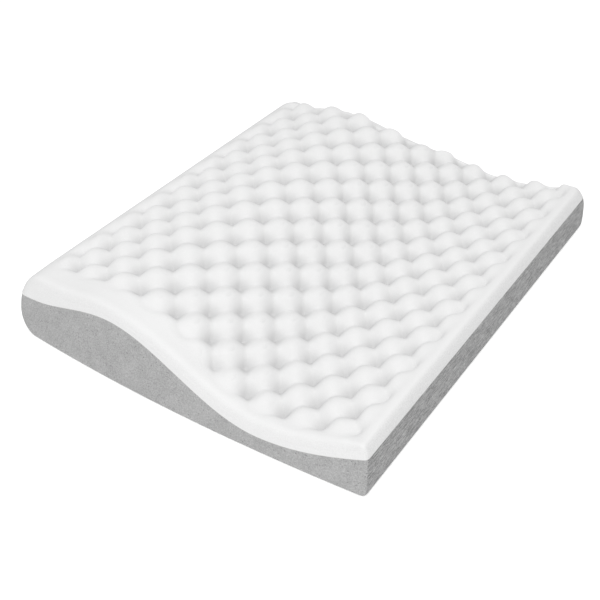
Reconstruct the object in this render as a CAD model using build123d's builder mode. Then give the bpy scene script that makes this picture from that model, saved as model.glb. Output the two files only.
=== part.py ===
"""Contour bed pillow of two laminated foams, in millimetres, +Z up.

A grey profiled foam base carries the contour: a high neck lobe along the -X side, a hollow
for the neck, and a low lobe along the +X side. A white egg-crate foam is bonded over it by a
thin film of adhesive. X runs across the contour and Y along the pillow. The origin is on the
resting face, in the middle of the pillow's footprint.
"""
import os
from math import atan, cos, radians, sin, tan

from build123d import *

# Overall size
pillow_width = 432.0            # across the contour, along X
pillow_length = 500.0           # along Y, over the bowed ends
end_bow = 9.0                   # the middle of each end stands out past its corners
end_lean = 12.0                 # degrees that each end face leans in on its way up
low_side_lean = 3.0             # the low side leans in by this much on its way to the rim

# Base foam, heights of its bonded face above the resting face
shoulder_height = 48.5          # shoulder between the nose and the lobe
shoulder_inset = 50.0           # in from the high side
lobe_height = 66.5              # crest of the high lobe
lobe_inset = 143.0              # in from the high side
hollow_height = 16.5            # lowest place, under the neck
hollow_inset = 110.0            # in from the low side
low_side_height = 39.5          # at the low side

# Nose, the full round edge of the high side
nose_height = 25.0              # widest point above the resting face
nose_radius = 51.0              # round from that point up to the top foam's shoulder

# Top foam, from the adhesive to the tops of its knobs
top_over_lobe = 17.0
top_over_slope = 18.0           # square to the slope
top_over_hollow = 18.0
top_over_low_side = 18.0
crest_shift = 12.0              # its crest lies this much nearer to the nose than the base's

# Adhesive
film_thickness = 0.4

# Rounded edges
corner_radius = 7.0             # upright corners of the footprint
foot_radius = 4.0               # bottom edge of the low side
rim_radius = 7.0                # top edge of the low side

# Slopes of the two contours, rise over run
bond_rise_at_nose = 0.05
bond_rise_at_shoulder = 0.2
bond_rise_at_low_side = 0.35
top_rise_at_low_side = 0.36
slope_peak = 1.5                # an S curve's middle is this much steeper than its mean

overrun = 40.0                  # cutting tools run this far past the pillow

# Worked out from the sizes above
high_side = -pillow_width / 2
low_side = pillow_width / 2
rim_x = low_side - low_side_lean
shoulder_x = high_side + shoulder_inset
lobe_x = high_side + lobe_inset
hollow_x = low_side - hollow_inset
nose_top_x = high_side + nose_radius
nose_top = nose_height + nose_radius
bond_height_at_nose = shoulder_height - shoulder_inset * bond_rise_at_shoulder / 2
crest_height = lobe_height + film_thickness + top_over_lobe
rim_height = low_side_height + film_thickness + top_over_low_side
slope_angle = atan(slope_peak * (lobe_height - hollow_height) / (hollow_x - lobe_x))


def bond_line(rise=0.0):
    """Bonded face of the base in section, from side to side, raised by rise."""
    return Spline(
        (high_side, bond_height_at_nose + rise),
        (shoulder_x, shoulder_height + rise),
        (lobe_x, lobe_height + rise),
        (hollow_x, hollow_height + rise),
        (low_side, low_side_height + rise),
        tangents=[
            (1, bond_rise_at_nose),
            (1, bond_rise_at_shoulder),
            (1, 0),
            (1, 0),
            (1, bond_rise_at_low_side),
        ],
    )


def knob_tops():
    """Line over the knobs of the top foam in section, from the nose to the rim."""
    slope_thickness = film_thickness + top_over_slope
    slope_x = (lobe_x + hollow_x) / 2 + slope_thickness * sin(slope_angle)
    slope_height = (lobe_height + hollow_height) / 2 + slope_thickness * cos(slope_angle)
    return Spline(
        (nose_top_x, nose_top),
        (lobe_x - crest_shift, crest_height),
        (slope_x, slope_height),
        (hollow_x, hollow_height + film_thickness + top_over_hollow),
        (rim_x, rim_height),
        tangents=[
            (1, 0),
            (1, 0),
            (1, -tan(slope_angle)),
            (1, 0),
            (1, top_rise_at_low_side),
        ],
    )


def pillow_section():
    """Outline of the whole pillow in section: foot, nose, knob tops and low side."""
    foot_start = (high_side + nose_height, 0)
    nose_tip = (high_side, nose_height)
    foot_end = (low_side, 0)
    with BuildSketch(Plane.XZ, mode=Mode.PRIVATE) as section:
        with BuildLine():
            RadiusArc(foot_start, nose_tip, nose_height)
            RadiusArc(nose_tip, (nose_top_x, nose_top), nose_radius)
            knob_tops()
            Line((rim_x, rim_height), foot_end)
            Line(foot_end, foot_start)
        make_face()
        fillet(section.vertices().sort_by_distance(foot_end)[0], foot_radius)
        fillet(section.vertices().sort_by_distance((rim_x, rim_height))[0], rim_radius)
    return section.sketch


def footprint(height):
    """Outline of the pillow in plan at a height, with bowed ends and rounded corners."""
    half_length = pillow_length / 2 - height * tan(radians(end_lean))
    corner = half_length - end_bow
    with BuildSketch(Plane.XY.offset(height), mode=Mode.PRIVATE) as plan:
        with BuildLine():
            Line((high_side, -corner), (high_side, corner))
            ThreePointArc((high_side, corner), (0, half_length), (low_side, corner))
            Line((low_side, corner), (low_side, -corner))
            ThreePointArc((low_side, -corner), (0, -half_length), (high_side, -corner))
        make_face()
        fillet(plan.vertices(), corner_radius)
    return plan.sketch


def pillow_block():
    """The laminated block before it is parted: the section run along Y and cut to the plan."""
    extrude(pillow_section(), amount=pillow_length / 2, both=True)
    loft([footprint(0).face(), footprint(crest_height).face()], mode=Mode.INTERSECT)


def cut_away(rise, level):
    """Remove all that lies between the bond line, raised by rise, and a level past it."""
    with BuildSketch(Plane.XZ, mode=Mode.PRIVATE) as waste:
        with BuildLine():
            bond = bond_line(rise)
            Polyline(
                bond @ 1,
                bond @ 1 + (overrun, 0),
                (low_side + overrun, level),
                (high_side - overrun, level),
                bond @ 0 - (overrun, 0),
                bond @ 0,
            )
        make_face()
    extrude(waste.sketch, amount=pillow_length, both=True, mode=Mode.SUBTRACT)


# Base foam: everything under the bond line
with BuildPart() as base_foam:
    pillow_block()
    cut_away(rise=0.0, level=crest_height + overrun)
base_foam.part.label = "base_foam"

# Adhesive film: a skin of even height on the whole bonded face
with BuildPart() as adhesive_film:
    pillow_block()
    cut_away(rise=0.0, level=-overrun)
    cut_away(rise=film_thickness, level=crest_height + overrun)
adhesive_film.part.label = "adhesive_film"

# Egg-crate foam: everything over the film, up to the tops of its knobs
with BuildPart() as egg_crate_top:
    pillow_block()
    cut_away(rise=film_thickness, level=-overrun)
egg_crate_top.part.label = "egg_crate_top"

os.makedirs("parts", exist_ok=True)
for piece in (base_foam, adhesive_film, egg_crate_top):
    export_step(piece.part, f"parts/{piece.part.label}.step")
    print(piece.part.label, len(piece.part.solids()), round(piece.part.volume))
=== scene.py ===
# %% [markdown]
# # A contour pillow of two foams
# This lesson builds the looks of a bare foam bed pillow round a finished CAD frame. The real
# thing is a laminate: a grey foam block cut to a contour, with a white egg-crate foam glued
# over it. The frame says how big everything is, so every place and size below is measured from
# the frame or is a named size of a foam maker's own, in metres.

# %% Load the frame and measure it
from math import cos, pi, radians, sin

import bmesh
import bpy
import numpy as np
from mathutils import Matrix, Vector


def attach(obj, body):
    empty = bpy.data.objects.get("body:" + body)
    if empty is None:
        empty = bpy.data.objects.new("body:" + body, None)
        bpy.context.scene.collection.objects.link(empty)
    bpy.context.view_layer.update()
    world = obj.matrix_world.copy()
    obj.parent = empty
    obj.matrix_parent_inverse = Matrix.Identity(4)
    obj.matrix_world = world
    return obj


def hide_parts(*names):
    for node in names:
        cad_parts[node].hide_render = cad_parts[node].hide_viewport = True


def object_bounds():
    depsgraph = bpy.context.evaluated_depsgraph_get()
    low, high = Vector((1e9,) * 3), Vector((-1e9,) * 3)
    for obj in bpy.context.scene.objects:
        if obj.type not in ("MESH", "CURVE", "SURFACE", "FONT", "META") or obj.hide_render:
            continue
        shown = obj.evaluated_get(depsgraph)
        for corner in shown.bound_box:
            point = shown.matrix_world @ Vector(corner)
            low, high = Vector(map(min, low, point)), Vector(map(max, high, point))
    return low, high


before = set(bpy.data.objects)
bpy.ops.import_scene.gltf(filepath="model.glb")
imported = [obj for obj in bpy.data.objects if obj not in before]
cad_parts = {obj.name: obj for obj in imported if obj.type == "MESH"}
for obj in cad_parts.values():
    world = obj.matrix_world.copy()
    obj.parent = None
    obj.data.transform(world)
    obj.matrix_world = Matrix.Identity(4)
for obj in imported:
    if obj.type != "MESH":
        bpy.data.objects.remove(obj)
cad_box = [list(corner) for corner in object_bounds()]
low_corner, high_corner = (Vector(corner) for corner in cad_box)
mm = 0.001
print("pillow", [round(side / mm, 1) for side in high_corner - low_corner], "mm")

# %% [markdown]
# ## Reading the contour off the frame
# A foam cutter works from a section: a hot wire or a blade follows one line from side to side,
# and the block is as long as it needs to be. The frame's solids hold that section. Slicing one
# of them with a plane gives its outline as a loop of edges, and walking along the loop puts its
# points in order. This is better than typing the curve in again, because the two can't differ.

# %% Slice a solid of the frame across the pillow
weld = 0.01 * mm


def section_of(node):
    """Outline of a CAD node across the middle of the pillow, as points (x, z) in order."""
    bm = bmesh.new()
    bm.from_mesh(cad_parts[node].data)
    bmesh.ops.remove_doubles(bm, verts=bm.verts, dist=weld)
    everything = bm.verts[:] + bm.edges[:] + bm.faces[:]
    bmesh.ops.bisect_plane(
        bm, geom=everything, plane_co=(0, weld, 0), plane_no=(0, 1, 0),
        clear_inner=True, clear_outer=True,
    )
    bm.verts.ensure_lookup_table()
    first = corner = bm.verts[0]
    edge = first.link_edges[0]
    points = []
    while not points or corner is not first:
        points.append((corner.co.x, corner.co.z))
        corner = edge.other_vert(corner)
        edge = next(e for e in corner.link_edges if e is not edge)
    bm.free()
    return np.array(points)


loops = {node: section_of(node) for node in ("base_foam", "egg_crate_top")}
print("points in the slices", {node: len(loop) for node, loop in loops.items()})

# %% [markdown]
# Each slice has two sharp corners, where the glue line comes out at the nose and at the low
# side. Between them run two lines: the glued one and the free one. Both are drawn again with
# even steps, so that the mesh that follows has even faces.

# %% Part each slice into its glued line and its free line
def steps_of(line):
    """Distance along a line of points, from its first point."""
    runs = np.hypot(*np.diff(line, axis=0).T)
    return np.concatenate([[0.0], np.cumsum(runs)])


def evenly(line, count):
    """The same line with a number of evenly spaced points."""
    at = steps_of(line)
    wanted = np.linspace(0, at[-1], count)
    return np.stack([np.interp(wanted, at, line[:, k]) for k in (0, 1)], axis=1)


def eased(line, passes):
    """The same line with its facets smoothed away."""
    for _ in range(passes):
        line[1:-1] = (line[:-2] + 2 * line[1:-1] + line[2:]) / 4
    return line


def part_lines(loop):
    """The upper and the lower line of a slice, both from the nose to the low side."""
    into = loop - np.roll(loop, 1, axis=0)
    out_of = np.roll(loop, -1, axis=0) - loop
    turn = (into * out_of).sum(1) / np.hypot(*into.T) / np.hypot(*out_of.T)
    a, b = sorted(np.argsort(turn)[:2])
    lines = [loop[a:b + 1], np.concatenate([loop[b:], loop[:a + 1]])]
    lines = [line if line[0, 0] < line[-1, 0] else line[::-1] for line in lines]
    return sorted(lines, key=lambda line: -line[:, 1].mean())


top_line, top_bond = part_lines(loops["egg_crate_top"])
base_bond, base_line = part_lines(loops["base_foam"])
print("glue line", round(steps_of(top_bond)[-1] / mm), "mm across, from",
      (top_bond[0] / mm).round(1), "to", (top_bond[-1] / mm).round(1))

# %% [markdown]
# The ends of the pillow aren't square: they bow outwards in the middle and lean in on the way
# up, as foam does when it's cut under a slack blade. Three rays along the pillow measure the
# bow and the lean of the frame's ends. The rim of the far end is scooped back as well, over the
# slope, which the frame doesn't have.

# %% Measure how far each end reaches
def end_of(node, x, z):
    """Where a ray from outside, along the pillow, meets a CAD node."""
    hit, place, _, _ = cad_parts[node].ray_cast((x, 1.0, z), (0, -1, 0))
    return place.y if hit else None


probe_low, probe_high, probe_out = 8 * mm, 40 * mm, 0.75 * low_corner.x
end_low = end_of("base_foam", 0, probe_low)
end_lean = (end_low - end_of("base_foam", 0, probe_high)) / (probe_high - probe_low)
end_bow = (end_low - end_of("base_foam", probe_out, probe_low)) / probe_out ** 2
end_foot = end_low + end_lean * probe_low
far_cut = 13 * mm
far_cut_x, far_cut_width, far_cut_height = -25 * mm, 190 * mm, 60 * mm


def reach(x, z, way=-1):
    """How far the foam goes along the pillow at a place in its section. way is 1 at the far end."""
    off_centre = np.clip((x - far_cut_x) / far_cut_width, -0.5, 0.5)
    short = far_cut * np.cos(pi * off_centre) ** 2 * np.clip(z / far_cut_height, 0, 1) * (way > 0)
    return end_foot - end_lean * z - end_bow * x ** 2 - short


print("half length", round(end_foot / mm, 1), "lean", round(end_lean, 3),
      "bow", round(end_bow * low_corner.x ** 2 / mm, 1), "mm")

# %% [markdown]
# ## One way to mesh a foam layer
# Both foams have the same make-up: a free line, a glued line, two ends, and a softened edge
# round each end. A box with bevels would need its corners fixed by hand. Here a ring of points
# is swept along the pillow instead. Near each end the ring shrinks along a quarter circle,
# which rounds the edge, and the last ring is filled by rows that run down to the glue line.

# %% Turn grids of points into one closed mesh
def grid_faces(ids):
    """Quads over a grid of vertex numbers. Where two numbers meet, a triangle."""
    corners = np.stack([ids[:-1, :-1], ids[:-1, 1:], ids[1:, 1:], ids[1:, :-1]], axis=-1)
    return [list(dict.fromkeys(face)) for face in corners.reshape(-1, 4).tolist()]


def wide_faces(ids, step):
    """Wide faces over a grid that nobody sees, which keep every point of its border."""
    rows, columns = ids.shape[0] - 1, ids.shape[1] - 1
    faces = []
    for j in range(0, rows, step):
        for i in range(0, columns, step):
            fine_i, fine_j = range(i, i + step + 1), range(j, j + step + 1)
            ends_i, ends_j = (i, i + step), (j, j + step)
            near = [ids[j, k] for k in (fine_i if j == 0 else ends_i)]
            far = [ids[j + step, k] for k in (fine_i if j + step == rows else ends_i)]
            left = [ids[k, i] for k in (fine_j if i == 0 else ends_j)]
            right = [ids[k, i + step] for k in (fine_j if i + step == columns else ends_j)]
            loop = near + right[1:] + far[::-1][1:] + left[::-1][1:]
            faces.append([int(k) for k in dict.fromkeys(loop)])
    return faces


def closed_mesh(name, points, faces, depths=None):
    """A mesh object of those faces, with smooth shading and sharp edges at the glue line."""
    used = np.zeros(len(points), bool)
    used[[k for face in faces for k in face]] = True
    number = np.cumsum(used) - 1
    mesh = bpy.data.meshes.new(name)
    mesh.from_pydata(points[used].tolist(), [], [number[face].tolist() for face in faces])
    bm = bmesh.new()
    bm.from_mesh(mesh)
    bmesh.ops.recalc_face_normals(bm, faces=bm.faces)
    open_edges = sum(not edge.is_manifold for edge in bm.edges)
    bm.to_mesh(mesh)
    bm.free()
    if depths is not None:
        mesh.attributes.new("hollow", "FLOAT", "POINT").data.foreach_set("value", depths[used])
    mesh.shade_smooth()
    mesh.set_sharp_from_angle(angle=radians(55))
    piece = bpy.data.objects.new(name, mesh)
    bpy.context.scene.collection.objects.link(piece)
    print(name, len(mesh.vertices), "points", len(mesh.polygons), "faces", open_edges, "open edges")
    return piece


# %% [markdown]
# The sweep needs to know which way is into the foam at each point of a line. A hollow is cut by
# moving the free line that way, but never through the last thin web over the glue, so the sheet
# stays in one piece. The far corner of the low side is pushed in, which rounds it in plan.

# %% Sweep a layer along the pillow
corner_waist, foot_swell, rim_swell = 9 * mm, 12 * mm, 26 * mm
rim_height = top_line[-1, 1] + 18 * mm
thinnest = 1.5 * mm


def inward_of(line, side):
    """Unit vectors into the foam, square to a line. side is 1 over the foam and -1 under it."""
    slope = np.gradient(line, axis=0)
    slope /= np.hypot(*slope.T)[:, None]
    return side * np.stack([slope[:, 1], -slope[:, 0]], axis=1)


def ease(x, start, stop):
    """0 before start, 1 after stop, and an S curve between."""
    share = np.clip((x - start) / (stop - start), 0, 1)
    return share * share * (3 - 2 * share)


def soft_corner(points):
    """Push the far corner of the low side in, so that it is round in plan."""
    side_x = high_corner.x
    share = np.clip(points[:, 2] / rim_height, 0, 1)
    swell = np.where(share < 0.5, foot_swell, rim_swell)
    radius = corner_waist + swell * (2 * share - 1) ** 2
    a = (points[:, 0] - (side_x - radius)) / radius
    b = (points[:, 1] - (reach(side_x, points[:, 2]) - radius)) / radius
    inside = (a > 0) & (b > 0)
    a, b = np.clip(a, 0, 1), np.clip(b, 0, 1)
    points[:, 0] -= np.where(inside, radius * a * (1 - np.sqrt(1 - b * b / 2)), 0)
    points[:, 1] -= np.where(inside, radius * b * (1 - np.sqrt(1 - a * a / 2)), 0)
    return points


def foam_layer(name, free, bond, side, near_rounding, far_rounding, rows, round_rows, end_rows,
               sink=None, wide=1):
    """A layer between its free line and its glued line, with the same number of points."""
    inward = inward_of(free, side)
    turns = np.linspace(0, pi / 2, round_rows + 1)
    stations = [(-1, turn) for turn in turns[:0:-1]]
    stations += [(share, 0.0) for share in np.linspace(-1, 1, rows)]
    stations += [(1, turn) for turn in turns[1:]]
    free_rows, bond_rows, depths = [], [], []
    for share, turn in stations:
        rounding = near_rounding if share < 0 else far_rounding
        line = free + inward * (rounding * (1 - cos(turn)))[:, None]
        floor_z = np.interp(line[:, 0], bond[:, 0], bond[:, 1])
        line[:, 1] = side * np.maximum(side * line[:, 1], side * floor_z)
        line[[0, -1], 1] = floor_z[[0, -1]]
        bond_x = np.interp(bond[:, 0], [bond[0, 0], bond[-1, 0]], [line[0, 0], line[-1, 0]])
        bond_z = np.interp(bond_x, bond[:, 0], bond[:, 1])
        short = rounding * (1 - sin(turn))
        y = share * (reach(line[:, 0], line[:, 1], share) - short)
        bond_y = share * (reach(bond_x, bond_z, share) - short)
        depths.append(np.zeros(len(line)))
        if sink is not None:
            depth, depths[-1] = sink(line, y)
            line = line + inward * depth[:, None]
            floor_z = np.interp(line[:, 0], bond[:, 0], bond[:, 1]) + thinnest
            line[1:-1, 1] = np.maximum(line, np.stack([line[:, 0], floor_z], axis=1))[1:-1, 1]
        free_rows.append(np.stack([line[:, 0], y, line[:, 1]], axis=1))
        bond_rows.append(np.stack([bond_x, bond_y, bond_z], axis=1))
    free_rows, bond_rows = np.array(free_rows), np.array(bond_rows)
    count = len(free)
    free_ids = np.arange(len(stations) * count).reshape(len(stations), count)
    bond_ids = free_ids + free_ids.size
    bond_ids[:, [0, -1]] = free_ids[:, [0, -1]]
    points = [free_rows.reshape(-1, 3), bond_rows.reshape(-1, 3)]
    faces = grid_faces(free_ids)
    faces += wide_faces(bond_ids, wide) if wide > 1 else grid_faces(bond_ids)
    taken = 2 * free_ids.size
    for end, way in ((0, -1), (-1, 1)):
        cap_ids = np.arange(taken, taken + (end_rows + 1) * count).reshape(end_rows + 1, count)
        share = np.linspace(0, 1, end_rows + 1)[:, None, None]
        cap = free_rows[end] * (1 - share) + bond_rows[end] * share
        cap[:, :, 1] = way * reach(cap[:, :, 0], cap[:, :, 2], way)
        taken += cap_ids.size
        cap_ids[0], cap_ids[-1] = free_ids[end], bond_ids[end]
        cap_ids[:, [0, -1]] = free_ids[end, [0, -1]]
        points.append(cap.reshape(-1, 3))
        faces += grid_faces(cap_ids)
    points = soft_corner(np.concatenate(points))
    depths = np.concatenate([np.concatenate(depths), np.zeros(len(points) - free_ids.size)])
    return closed_mesh(name, points, faces, depths), bond_rows


# %% [markdown]
# ## The grey base foam
# The base is a plain block that a blade cut to its contour, so its mesh is quiet: the section of
# the frame, with softened edges round both ends. It could be the CAD solid with a bevel, but
# the ring sweep lets the rounding change from the nose to the corner of the low side.

# %% Build the base foam
nose_rounding = 9 * mm
corner_rounding = 3.5 * mm
base_nose_stretch, base_side_stretch = 60 * mm, 20 * mm
base_columns, base_rows = 240, 150


def rounding_along(line, at_nose, between, at_side, nose_stretch, side_stretch):
    """Edge rounding for each point of a line, changing near the nose and near the low side."""
    at = steps_of(line)
    start = 1 - ease(at, 0, nose_stretch)
    stop = ease(at, at[-1] - side_stretch, at[-1])
    return between + (at_nose - between) * start + (at_side - between) * stop


base_free = eased(evenly(base_line, base_columns), 2)
base_glued = eased(evenly(base_bond, base_columns), 4)
base_glued[[0, -1]] = base_free[[0, -1]]
base_rounding = rounding_along(
    base_free, nose_rounding, corner_rounding, corner_rounding, base_nose_stretch, base_side_stretch,
)
base_foam, glued_face = foam_layer(
    "base_foam_block", base_free, base_glued, -1, base_rounding, base_rounding, base_rows, 6, 24,
)

# %% [markdown]
# ## The egg-crate top
# Egg-crate foam is cut by pressing a flat sheet between two rollers with fingers and slitting
# it while it is squeezed. When it springs back, knobs and hollows stand in staggered rows, like
# the pattern of a chessboard, and each height is near to a product of two cosines. The sheet is
# then bent over the base, so the rows keep their spacing along the glue line: they spread over
# the lobe and crowd in the neck hollow. The fingers stop short of the rim, which stays smooth.

# %% Lay out the knob rows
row_along = 23.5 * mm
row_across = 21.4 * mm
lift = 19 * mm
first_row_y = 18.6 * mm
crest_row_x = -67.2 * mm
smooth_rim, rim_passes = 46 * mm, 30

top_columns, top_rows = 264, 289
top_free = eased(evenly(top_line, top_columns + 1), 2)
rim_columns = int(smooth_rim / steps_of(top_free)[-1] * top_columns)
top_free[-rim_columns:] = eased(top_free[-rim_columns:], rim_passes)
top_glued = eased(evenly(top_bond, top_columns + 1), 4)
top_glued[[0, -1]] = top_free[[0, -1]]
glued_at = steps_of(top_glued)
over_glue = top_glued - inward_of(top_glued, 1) * lift


def row_number(x):
    """Which row across the pillow a place over the glue line is in, counted from the crest."""
    at = np.interp(x, over_glue[:, 0], glued_at)
    return (at - np.interp(crest_row_x, over_glue[:, 0], glued_at)) / row_across


rows = row_number(top_free[:, 0])
print("rows across, counted from the crest", rows.min().round(1), "to", rows.max().round(1))

# %% [markdown]
# The staggered rows run square to each other along two diagonals, so the height at a place is a
# sum over both. Each part mixes a parabola, which leaves a sharp crease, with a sine, which
# leaves a soft one. The hollows fade out towards every edge, further in over the crest than over
# the low side, and the edges dip a little under the tops of the knobs.

# %% Cut the hollows
knob_height, knob_rise = 16.5 * mm, 2.5 * mm
crease_sharpness, dome = 0.5, 1.25
near_drop, side_drop = 3 * mm, 2 * mm
far_drop_crest, far_drop_low = 12 * mm, 6 * mm
crest_margin = 14 * mm
crest_ends, low_starts = 2.5, 7
nose_margin, side_margin = (-5.6, -4.4), (12.5, 13.4)
near_fade, near_dip = (4 * mm, 24 * mm), (6 * mm, 36 * mm)
far_fade_low, far_fade_crest = (0, 8 * mm), (3 * mm, 16 * mm)
nose_keeps, side_points = 0.7, 20


def hollows(line, y):
    """How deep the foam lies under the knob tops at each point of a ring."""
    s = row_number(line[:, 0])
    t = (y - first_row_y) / row_along
    fall = 0
    for diagonal in ((s + t) / 2, (s - t) / 2):
        off = diagonal - np.round(diagonal)
        sharp, soft = 2 * off ** 2, np.sin(pi * off) ** 2 / 2
        fall = fall + crease_sharpness * sharp + (1 - crease_sharpness) * soft
    fall = fall ** dome
    on_crest = 1 - ease(s, crest_ends, low_starts)
    left = reach(line[:, 0], line[:, 1], y[0]) - np.abs(y)
    on_nose, on_side = 1 - ease(s, *nose_margin), ease(s, *side_margin)
    if y[0] > 0:
        fade = [low + (crest - low) * on_crest for low, crest in zip(far_fade_low, far_fade_crest)]
        cut = ease(left, *fade)
        rim_drop = (1 - cut) * (far_drop_low + (far_drop_crest - far_drop_low) * on_crest)
    else:
        cut = ease(left - crest_margin * on_crest, *near_fade)
        rim_drop = near_drop * (1 - ease(left, *near_dip))
    cut = cut * (1 - on_nose) * (1 - on_side)
    drop = rim_drop * (1 - nose_keeps * on_nose) + side_drop * on_side
    from_side = np.minimum(np.arange(len(line)), np.arange(len(line))[::-1])
    at_sides = np.minimum(1, from_side / side_points)
    return cut * (knob_height * fall - knob_rise) * at_sides + drop * at_sides, cut * fall


near_rim, far_rim, side_rim = 8 * mm, 4 * mm, 3 * mm
rim_nose_stretch, rim_side_stretch = 40 * mm, 60 * mm
near_edge, far_edge = (
    rounding_along(top_free, nose_rounding, rim, side_rim, rim_nose_stretch, rim_side_stretch)
    for rim in (near_rim, far_rim)
)
egg_crate_top, _ = foam_layer(
    "egg_crate_sheet", top_free, top_glued, 1, near_edge, far_edge, top_rows, 6, 10,
    sink=hollows, wide=6,
)

# %% [markdown]
# ## The glue film
# Foams are joined by a thin sprayed adhesive, and only its edge shows. It's laid here over the
# same points as the glued face, so that it follows the base without a gap.

# %% Build the glue film
film_thickness = 0.4 * mm


def skin_over(name, grid, thickness):
    """A closed skin of even height over a grid of points."""
    rows, columns = grid.shape[:2]
    under = np.arange(rows * columns).reshape(rows, columns)
    over = under + under.size
    faces = grid_faces(under) + grid_faces(over)
    for edge in (np.s_[0], np.s_[-1], np.s_[:, 0], np.s_[:, -1]):
        faces += grid_faces(np.stack([under[edge], over[edge]]))
    points = np.concatenate([grid.reshape(-1, 3), grid.reshape(-1, 3) + (0, 0, thickness)])
    return closed_mesh(name, soft_corner(points), faces)


film = skin_over("adhesive_skin", glued_face, film_thickness)

# %% [markdown]
# ## Handing the pieces to the frame
# Each visible piece stands in for one solid of the frame, rides on its body and says which
# material it shows. The solids themselves stay as they are, because weight and contact come
# from them.

# %% Hand the pieces to the frame
pieces = (base_foam, "base_foam"), (film, "adhesive_film"), (egg_crate_top, "egg_crate_top")
for piece, node in pieces:
    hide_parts(node)
    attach(piece, "root")
    print(piece.name, "stands in for", node)

# %% [markdown]
# ## Writing finishes as sums
# A finish changes from place to place, and each change is a small sum on noise, distance or
# direction. Wiring such sums by hand is slow to read. The class below wraps a socket, so that
# a sum can be written as Python, and each operator adds the Math node that does it.

# %% Wrap a socket so that sums can be written on it
class Wire:
    """An output socket of a material, with the sums that the finishes use."""

    def __init__(self, tree, socket):
        self.tree, self.socket = tree, socket

    def node(self, kind, settings, inputs, output=0):
        """A new node in the same material: its settings first, then its sockets."""
        made = self.tree.nodes.new(kind)
        for name, value in settings.items():
            setattr(made, name, value)
        for name, value in inputs.items():
            if isinstance(value, Wire):
                self.tree.links.new(value.socket, made.inputs[name])
            else:
                made.inputs[name].default_value = value
        return Wire(self.tree, made.outputs[output])

    def maths(self, operation, a, b=0.0):
        return self.node("ShaderNodeMath", {"operation": operation}, {0: a, 1: b})

    def __add__(self, other):
        return self.maths("ADD", self, other)

    def __sub__(self, other):
        return self.maths("SUBTRACT", self, other)

    def __rsub__(self, other):
        return self.maths("SUBTRACT", other, self)

    def __mul__(self, other):
        return self.maths("MULTIPLY", self, other)

    __radd__ = __add__
    __rmul__ = __mul__

    def __abs__(self):
        return self.maths("ABSOLUTE", self)

    def between(self, start, stop):
        """0 up to start, 1 from stop on, and a smooth change between."""
        return self.node("ShaderNodeMapRange", {"interpolation_type": "SMOOTHSTEP"},
                         {"Value": self, "From Min": start, "From Max": stop})

    def stretched(self, along):
        """The same place, counted in cells of a given size along x, y and z."""
        return self.node("ShaderNodeVectorMath", {"operation": "MULTIPLY"},
                         {0: self, 1: tuple(1 / size for size in along)})

    def noise(self, size, detail=2.0, roughness=0.5):
        """Cloudy noise about 0.5, with blotches of a size in metres."""
        return self.node("ShaderNodeTexNoise", {"noise_dimensions": "3D"},
                         {"Vector": self, "Scale": 1 / size, "Detail": detail, "Roughness": roughness})

    def cells(self, size, randomness=1.0):
        """Distance to the middle of the nearest foam cell, 0 in the middle."""
        return self.node("ShaderNodeTexVoronoi", {"feature": "F1"},
                         {"Vector": self, "Scale": 1 / size, "Randomness": randomness})

    def tinted(self, dark, light):
        """A colour between two, where the wire says how far."""
        return self.node("ShaderNodeMix", {"data_type": "RGBA"}, {0: self, 6: dark, 7: light}, 2)

    def relief(self, height, strength):
        """A normal bent by the wire, as if it were a relief of that height in metres."""
        return self.node("ShaderNodeBump", {}, {"Height": self, "Distance": height, "Strength": strength})


# %% [markdown]
# Every finish starts in the same way: a shader with its plain values set on its own sockets, and
# three wires to write sums on. One is the place on the piece. The other two say how far the
# surface faces across the pillow and along it, which tells a cut side from a cut end.

# %% Start a finish
def new_finish(name, **constants):
    """A material, its shader with the constants set on its own sockets, and three wires."""
    material = bpy.data.materials.new(name)
    material.use_nodes = True
    tree = material.node_tree
    shader = tree.nodes["Principled BSDF"]
    for socket, value in constants.items():
        shader.inputs[socket.replace("_", " ")].default_value = value
    start = Wire(tree, None)
    place = start.node("ShaderNodeTexCoord", {}, {}, "Object")
    facing = start.node("ShaderNodeTexCoord", {}, {}, "Normal")
    across, along = (start.node("ShaderNodeSeparateXYZ", {}, {0: facing}, way) for way in "XY")
    print("finish", name)
    return material, shader, place, across, along


def feed(shader, **wires):
    """Join wires to the shader's sockets."""
    for socket, wire in wires.items():
        wire.tree.links.new(wire.socket, shader.inputs[socket.replace("_", " ")])


# %% [markdown]
# ## Grey foam
# The base is a dense foam with small cells. A cut face shows them as fine grains, with a dark
# pore here and there where a big cell was opened. On the long side the blade drew the grain out
# into streaks. The long side is also darkened in colour: that is painted shade, which stays when
# the light changes.

# %% Make the grey foam
grey_tones = (0.20, 0.20, 0.20, 1), (0.56, 0.56, 0.56, 1)
grey_shade, grey_side_painted_shade, pore_shade = 0.53, 0.24, 0.35
grey, grey_shader, place, across, along = new_finish(
    "grey cut foam", Roughness=0.95, Specular_IOR_Level=0.2,
)
grain = place.noise(1.3 * mm, 2, 0.6)
blotch = place.noise(16 * mm)
pores = 1 - place.cells(2.6 * mm).between(0.14, 0.32)
pores = pores * place.noise(7 * mm).between(0.48, 0.6)
long_side = abs(across).between(0.75, 0.95)
streaks = place.stretched((1, 9, 1)).noise(1.1 * mm, 3, 0.7)
texture = grain * (1 - 0.5 * long_side) + streaks * (0.9 * long_side) - 0.2 * long_side
shade = grey_shade + (texture - 0.5) * (1.2 + 1.0 * long_side) + (blotch - 0.5) * 0.3
# The darker long side here is painted shade; the dark pores are the foam's own.
shade = shade - grey_side_painted_shade * long_side - pore_shade * pores
feed(grey_shader, Base_Color=shade.tinted(*grey_tones),
     Normal=(texture - 0.8 * pores).relief(0.5 * mm, 0.6))
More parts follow.
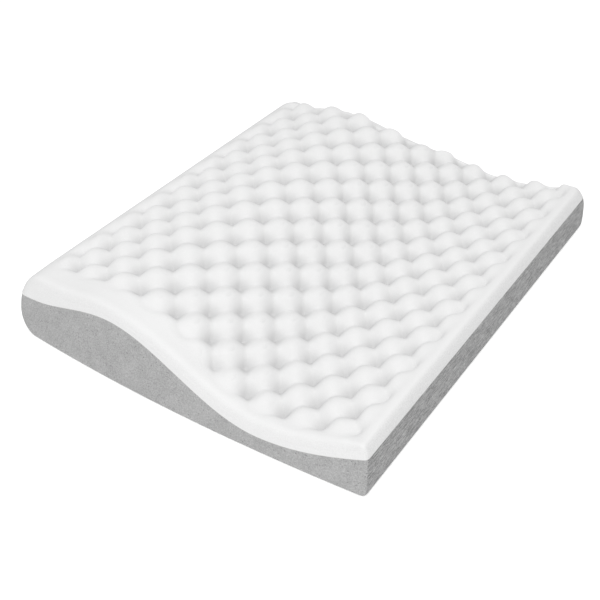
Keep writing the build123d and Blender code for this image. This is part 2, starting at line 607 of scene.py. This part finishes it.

# %% [markdown]
# ## White foam
# The egg-crate sheet is an open foam with fine cells, and the slit faces of its knobs look
# velvety. On its cut ends and its long side the cells are opened square, so the grain is coarser.
# The creases, the cut ends and the long side are given a darker colour on top of what the light
# does. That is painted shade, and it stays when the light changes.

# %% Make the white foam
white_tones = (0.62, 0.62, 0.62, 1), (0.88, 0.88, 0.88, 1)
white_shade, crease_painted_shade, side_painted_shade, end_painted_shade = 0.74, 0.7, 0.5, 0.20
white, white_shader, place, across, along = new_finish(
    "white open foam", Roughness=0.95, Specular_IOR_Level=0.2,
)
grain = place.noise(1.0 * mm, 2, 0.6)
blotch = place.noise(22 * mm)
pits = place.cells(1.1 * mm)
depth = place.node("ShaderNodeAttribute", {"attribute_name": "hollow"}, {}, "Fac")
plain_foam = 1 - depth.between(0.005, 0.05)
cut_side = abs(across).between(0.2, 1.0) * plain_foam
cut_end = abs(along).between(0.5, 0.9) * plain_foam
coarseness = 0.25 + 1.0 * cut_side + 0.4 * cut_end
shade = white_shade + (grain - 0.5) * coarseness + (blotch - 0.5) * 0.10
# The darker creases, long side and cut ends here are painted shade.
shade = shade - crease_painted_shade * depth.between(0.28, 0.95) - side_painted_shade * cut_side - end_painted_shade * cut_end
feed(white_shader, Base_Color=shade.tinted(*white_tones),
     Normal=(grain * 0.6 + pits * 0.5).relief(0.35 * mm, 0.35))

# %% [markdown]
# ## Glue
# Sprayed glue dries as a thin skin, smoother than cut foam. Its edge is a mottled grey, between
# the tones of the two foams.

# %% Make the glue and lay the finishes on the pieces
glue_tones = (0.46, 0.46, 0.45, 1), (0.66, 0.66, 0.65, 1)
glue, glue_shader, place, *_ = new_finish("dried glue", Roughness=0.6, Specular_IOR_Level=0.3)
feed(glue_shader, Base_Color=place.noise(3 * mm).tinted(*glue_tones))
for piece, finish in ((base_foam, grey), (film, glue), (egg_crate_top, white)):
    piece.data.materials.append(finish)

# %% [markdown]
# ## The floor
# A pale sheet of card is a usual stand for a product. It glows a little here, in place of the
# light that card sends back under the piece. It belongs to the stage and not to the pillow, and
# it lies a hair under the foot so that the two don't share a plane.

# %% Floor
floor_half, floor_gap = 3, 0.2 * mm
bm = bmesh.new()
bmesh.ops.create_grid(bm, x_segments=8, y_segments=8, size=floor_half)
floor_mesh = bpy.data.meshes.new("floor")
bm.to_mesh(floor_mesh)
bm.free()
floor = bpy.data.objects.new("floor", floor_mesh)
bpy.context.scene.collection.objects.link(floor)
floor.location.z = low_corner.z - floor_gap
pale, *_ = new_finish(
    "pale studio floor", Base_Color=(0.92, 0.92, 0.92, 1), Roughness=0.9,
    Emission_Color=(1, 1, 1, 1), Emission_Strength=0.35,
)
floor.data.materials.append(pale)
print("floor", 2 * floor_half, "m square")

# %% [markdown]
# ## The light
# White foam shows its shape by soft shadow alone. One big square lamp stands high over the near
# end, and an even white sky fills in the rest, so that the creases stay open.

# %% Lights
sky_strength = 0.62
scene = bpy.context.scene
world = bpy.data.worlds.new("studio")
scene.world = world
world.use_nodes = True
world.node_tree.nodes["Background"].inputs["Color"].default_value = (1, 1, 1, 1)
world.node_tree.nodes["Background"].inputs["Strength"].default_value = sky_strength


def softbox(name, place, size, power):
    """A square lamp that faces the pillow: its place and size in metres, its power in watts."""
    light = bpy.data.lights.new(name, "AREA")
    light.shape = "SQUARE"
    light.size = size
    light.energy = power
    lamp = bpy.data.objects.new(name, light)
    lamp.location = place
    lamp.rotation_euler = (-Vector(place)).to_track_quat("-Z", "Y").to_euler()
    scene.collection.objects.link(lamp)
    return lamp


key = softbox("key", (0.6, -0.85, 2.1), 1.7, 28)
print(key.name, "lamp", key.data.energy, "W")

# %% [markdown]
# ## The camera
# It looks down on the near end from the low side, turned a little about its own line of sight.
# The turn is built from three directions: back towards the camera, level, and upright.

# %% Camera
azimuth, elevation, roll = radians(38.3), radians(38.0), radians(4.9)
camera_place = Vector((0.484, -0.645, 0.593))
sensor_width, focal_length = 36, 53.94
back = Vector((sin(azimuth) * cos(elevation), -cos(azimuth) * cos(elevation), sin(elevation)))
level = Vector((0, 0, 1)).cross(back).normalized()
upright = back.cross(level)
x_axis = level * cos(roll) - upright * sin(roll)
y_axis = upright * cos(roll) + level * sin(roll)
camera_data = bpy.data.cameras.new("camera")
camera_data.sensor_width = sensor_width
camera_data.lens = focal_length
camera = bpy.data.objects.new("camera", camera_data)
turn = Matrix((x_axis, y_axis, back)).transposed().to_4x4()
camera.matrix_world = Matrix.Translation(camera_place) @ turn
scene.collection.objects.link(camera)
scene.camera = camera
scene.view_settings.view_transform = "Standard"
print("camera", focal_length, "mm, at", tuple(round(part, 3) for part in camera_place))
